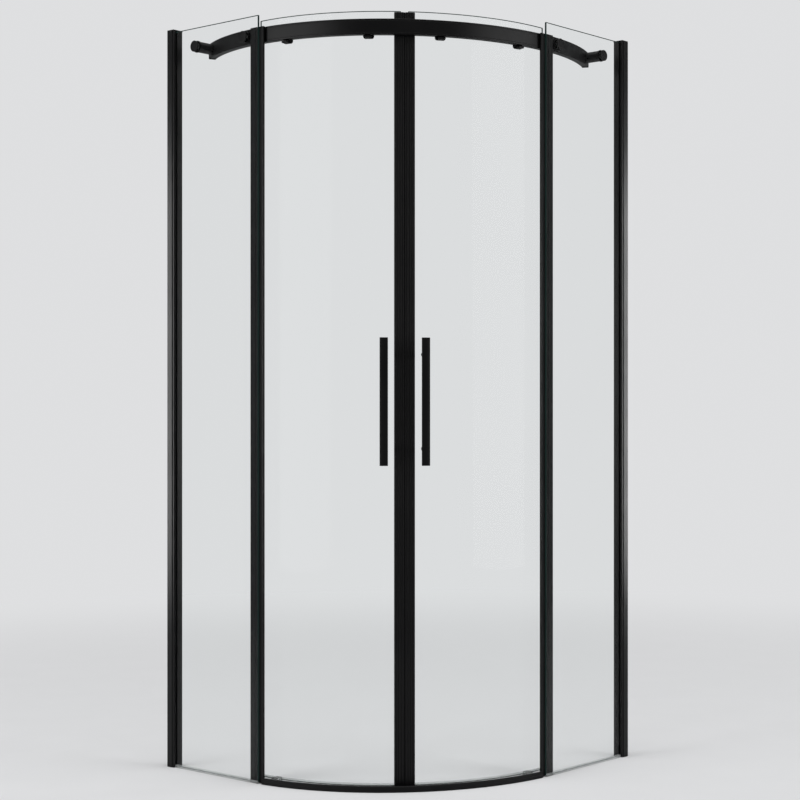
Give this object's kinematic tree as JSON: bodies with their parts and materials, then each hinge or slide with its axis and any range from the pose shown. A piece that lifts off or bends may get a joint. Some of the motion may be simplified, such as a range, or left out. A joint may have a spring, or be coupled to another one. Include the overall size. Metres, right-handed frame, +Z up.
{
  "type": "corner shower enclosure",
  "caption": "Corner shower enclosure with flat glass side panels and curved sliding glass doors that part in the middle, in matt black frames.",
  "frame": {"origin": "middle of the footprint, on the floor", "axes": "+Z up; the walls are the planes x = -0.45 m and y = +0.45 m; the curved front faces +X and -Y"},
  "size_m": [0.9, 0.9, 2.0105],
  "materials": {
    "black_profile": "matt black powder coat",
    "clear_glass": "clear toughened glass",
    "black_plastic": "fine matt",
    "black_rubber": "matt",
    "clear_seal": "smoky soft plastic",
    "clear_plastic": "clear hard plastic",
    "black_screw": "black zinc",
    "steel_bolt": "bright steel",
    "wheel_nylon": "smooth nylon"
  },
  "bodies": {
    "side_frame": {"wall_channel_left": "black_profile", "wall_channel_right": "black_profile", "glazing_profile_left": "black_profile", "glazing_profile_right": "black_profile", "profile_cap_left": "black_plastic", "profile_cap_right": "black_plastic", "glazing_gasket_left": "black_rubber", "glazing_gasket_right": "black_rubber", "side_glass_left": "clear_glass", "side_glass_right": "clear_glass", "side_bottom_seal_left": "clear_seal", "side_bottom_seal_right": "clear_seal", "edge_profile_left": "black_profile", "edge_profile_right": "black_profile", "edge_seal_left": "black_rubber", "edge_seal_right": "black_rubber", "adjusting_screws": "black_screw", "curved_rail": "black_profile", "long_standoffs": "black_profile", "short_spacers": "black_profile", "cap_screws": "black_profile", "glass_grommets": "clear_seal", "rail_end_stop_left": "black_plastic", "rail_end_stop_right": "black_plastic", "stop_buffers": "black_rubber", "curved_threshold": "black_profile", "door_guide_left": "clear_plastic", "door_guide_right": "clear_plastic"},
    "door_left": {"door_glass_left": "clear_glass", "closing_profile_left": "black_profile", "magnet_strip_left": "black_rubber", "rear_profile_left": "black_profile", "door_bottom_seal_left": "clear_seal", "roller_carriages_left": "black_plastic", "roller_bolts_left": "steel_bolt", "roller_caps_left": "black_plastic", "handle_left": "black_profile", "handle_fixings_left": "black_profile"},
    "door_right": {"door_glass_right": "clear_glass", "closing_profile_right": "black_profile", "magnet_strip_right": "black_rubber", "rear_profile_right": "black_profile", "door_bottom_seal_right": "clear_seal", "roller_carriages_right": "black_plastic", "roller_bolts_right": "steel_bolt", "roller_caps_right": "black_plastic", "handle_right": "black_profile", "handle_fixings_right": "black_profile"},
    "wheel_left_trailing": {"wheel_left_trailing": "wheel_nylon"},
    "wheel_left_leading": {"wheel_left_leading": "wheel_nylon"},
    "wheel_right_trailing": {"wheel_right_trailing": "wheel_nylon"},
    "wheel_right_leading": {"wheel_right_leading": "wheel_nylon"}
  },
  "joints": [
    {"name": "door_left_slide_round", "type": "hinge", "parent": "side_frame", "child": "door_left", "pos_m": [-0.122, 0.122, 1], "axis": [0, 0, -1], "range_deg": [0, 31]},
    {"name": "door_right_slide_round", "type": "hinge", "parent": "side_frame", "child": "door_right", "pos_m": [-0.122, 0.122, 1], "axis": [0, 0, 1], "range_deg": [0, 31]},
    {"name": "wheel_left_trailing_spin", "type": "hinge", "parent": "door_left", "child": "wheel_left_trailing", "pos_m": [-0.02332, -0.41043, 1.9532], "axis": [0.1822, -0.9833, 0], "range_deg": [0, 1124]},
    {"name": "wheel_left_leading_spin", "type": "hinge", "parent": "door_left", "child": "wheel_left_leading", "pos_m": [0.18859, -0.32157, 1.9532], "axis": [0.5736, -0.8192, 0], "range_deg": [0, 1124]},
    {"name": "wheel_right_trailing_spin", "type": "hinge", "parent": "door_right", "child": "wheel_right_trailing", "pos_m": [0.41043, 0.02332, 1.9532], "axis": [-0.9833, 0.1822, 0], "range_deg": [0, 1124]},
    {"name": "wheel_right_leading_spin", "type": "hinge", "parent": "door_right", "child": "wheel_right_leading", "pos_m": [0.32157, -0.18859, 1.9532], "axis": [-0.8192, 0.5736, 0], "range_deg": [0, 1124]}
  ],
  "couplings": [
    {"joint": "wheel_left_trailing_spin", "follows": "door_left_slide_round", "ratio": 36.1},
    {"joint": "wheel_left_leading_spin", "follows": "door_left_slide_round", "ratio": 36.1},
    {"joint": "wheel_right_trailing_spin", "follows": "door_right_slide_round", "ratio": 36.1},
    {"joint": "wheel_right_leading_spin", "follows": "door_right_slide_round", "ratio": 36.1}
  ]
}
